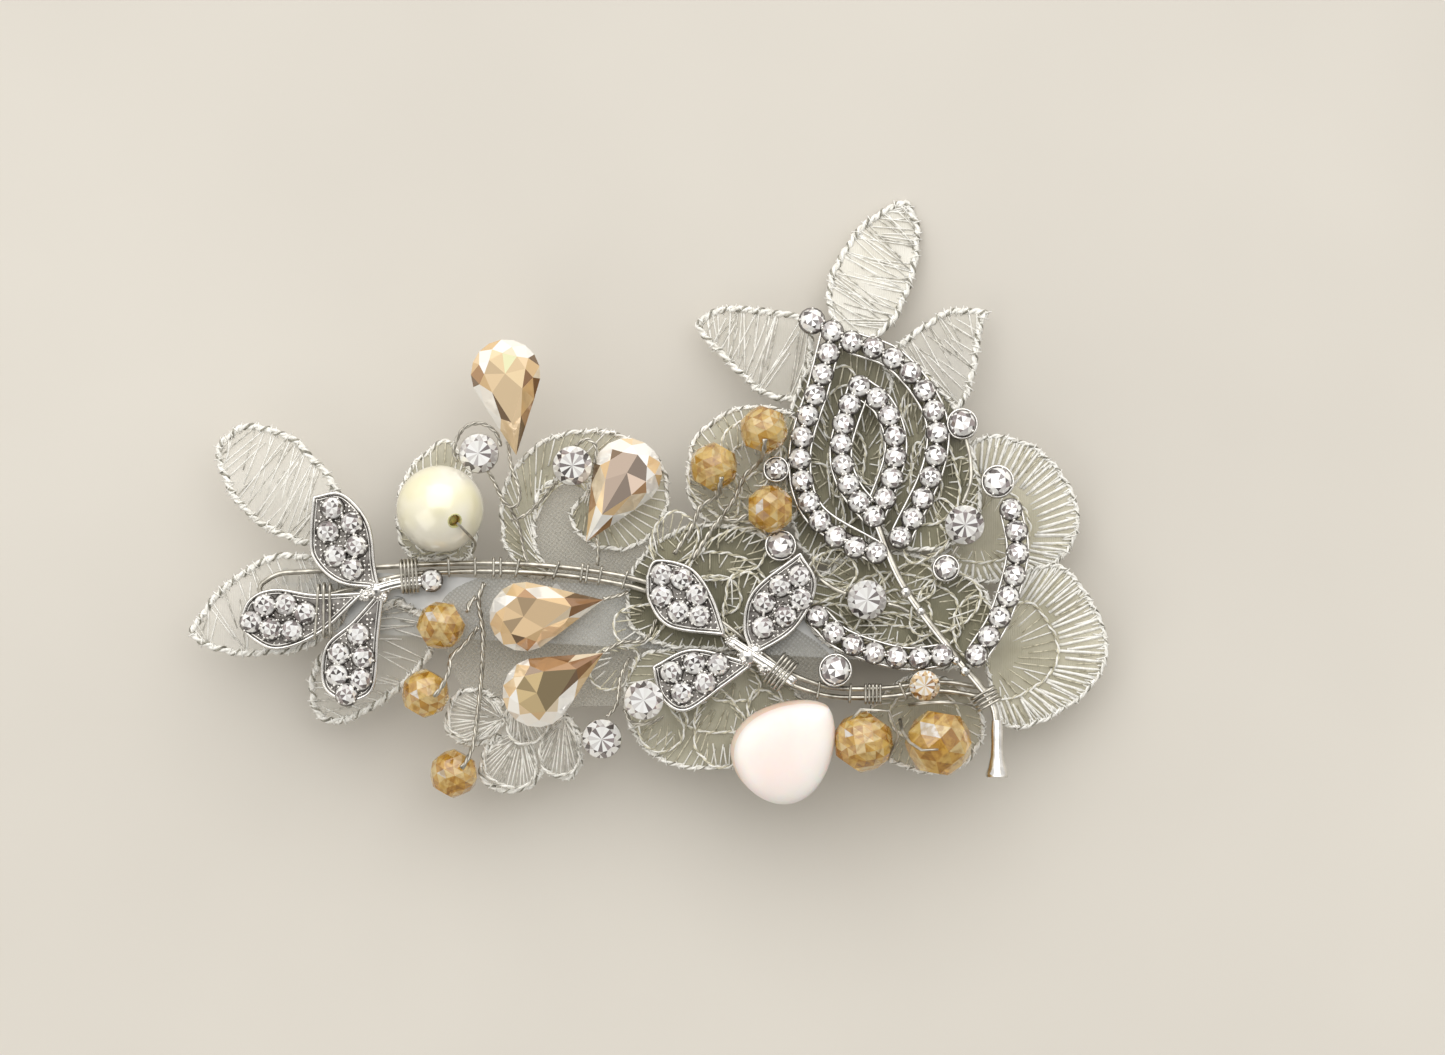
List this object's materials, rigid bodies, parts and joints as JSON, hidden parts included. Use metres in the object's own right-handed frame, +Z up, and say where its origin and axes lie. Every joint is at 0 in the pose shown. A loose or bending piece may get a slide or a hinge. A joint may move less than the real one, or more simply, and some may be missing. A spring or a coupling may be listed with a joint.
{
  "type": "hair clip",
  "caption": "Bridal hair clip: corded lace flowers, pavé leaves, cut crystals, amber beads and a pearl wired to a vine on a sprung barrette that grips the hair.",
  "frame": {"origin": "middle of the clasp arm's underside, where the clip rests", "axes": "+X along the spray towards the large lace flower, +Y towards the three top leaves, +Z up from the clip through the ornament"},
  "size_m": [0.1048, 0.0686, 0.0181],
  "materials": {
    "clip_steel": "nickel-plated pressed steel",
    "spring_steel": "bright spring steel strip",
    "silver_wire": "silver-plated craft wire",
    "antique_silver": "antique silver plating with dark recesses",
    "clear_rhinestone": "foil-backed cut glass",
    "clear_crystal": "cut glass",
    "champagne_crystal": "cut glass, champagne",
    "amber_glass": "faceted amber glass",
    "pearl": "pearlescent coating",
    "white_cabochon": "satin milky white",
    "lace": "corded and embroidered organza",
    "tulle": "fine net"
  },
  "bodies": {
    "spray": {"amber_beads_left": "amber_glass", "amber_beads_right": "amber_glass", "amber_large_left": "amber_glass", "amber_large_right": "amber_glass", "branch_bindings": "silver_wire", "cabochon_setting": "antique_silver", "champagne_chaton": "champagne_crystal", "chatons_left": "clear_crystal", "chatons_right": "clear_crystal", "clip_base_bar": "clip_steel", "feather_arm_stones": "clear_rhinestone", "feather_casting": "antique_silver", "feather_inner_stones": "clear_rhinestone", "feather_outer_stones": "clear_rhinestone", "hinge_pin": "clip_steel", "lace_leaf_left_lower": "lace", "lace_leaf_left_middle": "lace", "lace_leaf_left_upper": "lace", "lace_leaf_top_centre": "lace", "lace_leaf_top_left": "lace", "lace_leaf_top_right": "lace", "lace_petal_feather_left": "lace", "lace_petal_feather_lower": "lace", "lace_petal_feather_right": "lace", "lace_petal_lower": "lace", "lace_petal_lower_right": "lace", "lace_petal_middle": "lace", "lace_petal_pearl": "lace", "lace_petal_right_beads": "lace", "lace_petal_right_lower": "lace", "lace_petal_right_upper": "lace", "lace_small_flower": "lace", "lace_swirl": "lace", "large_bead_wires": "silver_wire", "left_bead_wire": "silver_wire", "left_branch_casting": "antique_silver", "left_branch_stones": "clear_rhinestone", "left_end_bindings": "silver_wire", "lower_crystal_wires": "silver_wire", "middle_branch_casting": "antique_silver", "middle_branch_stones": "clear_rhinestone", "pear_crystal_lower": "champagne_crystal", "pear_crystal_middle": "champagne_crystal", "pear_crystal_swirl": "champagne_crystal", "pear_crystal_top": "champagne_crystal", "pearl_bead": "pearl", "pearl_wire": "silver_wire", "right_bead_wire": "silver_wire", "right_chaton_wires": "silver_wire", "side_stone_cups": "antique_silver", "side_stones": "clear_rhinestone", "tension_bow": "spring_steel", "tulle_backing": "tulle", "upper_crystal_wires": "silver_wire", "vine_bindings": "silver_wire", "vine_frame_wire": "silver_wire", "white_cabochon": "white_cabochon"},
    "clasp_arm": {"clip_arm": "clip_steel"},
    "front_ear": {"latch_ear_front": "spring_steel"},
    "back_ear": {"latch_ear_back": "spring_steel"}
  },
  "joints": [
    {"name": "clasp_hinge", "type": "hinge", "parent": "spray", "child": "clasp_arm", "pos_m": [0.03395, -0.00178, 0.0042], "axis": [-0.0523, -0.9986, 0], "range_deg": [0, 75]},
    {"name": "front_ear_flex", "type": "hinge", "parent": "spray", "child": "front_ear", "pos_m": [-0.03404, 0.00008, 0.0077], "axis": [0.9986, -0.0523, 0], "range_deg": [0, 6], "stiffness_Nm_per_rad": 0.8},
    {"name": "back_ear_flex", "type": "hinge", "parent": "spray", "child": "back_ear", "pos_m": [-0.03386, 0.00348, 0.0077], "axis": [0.9986, -0.0523, 0], "range_deg": [-6, 0]}
  ],
  "couplings": [
    {"joint": "back_ear_flex", "follows": "front_ear_flex", "ratio": -1}
  ]
}
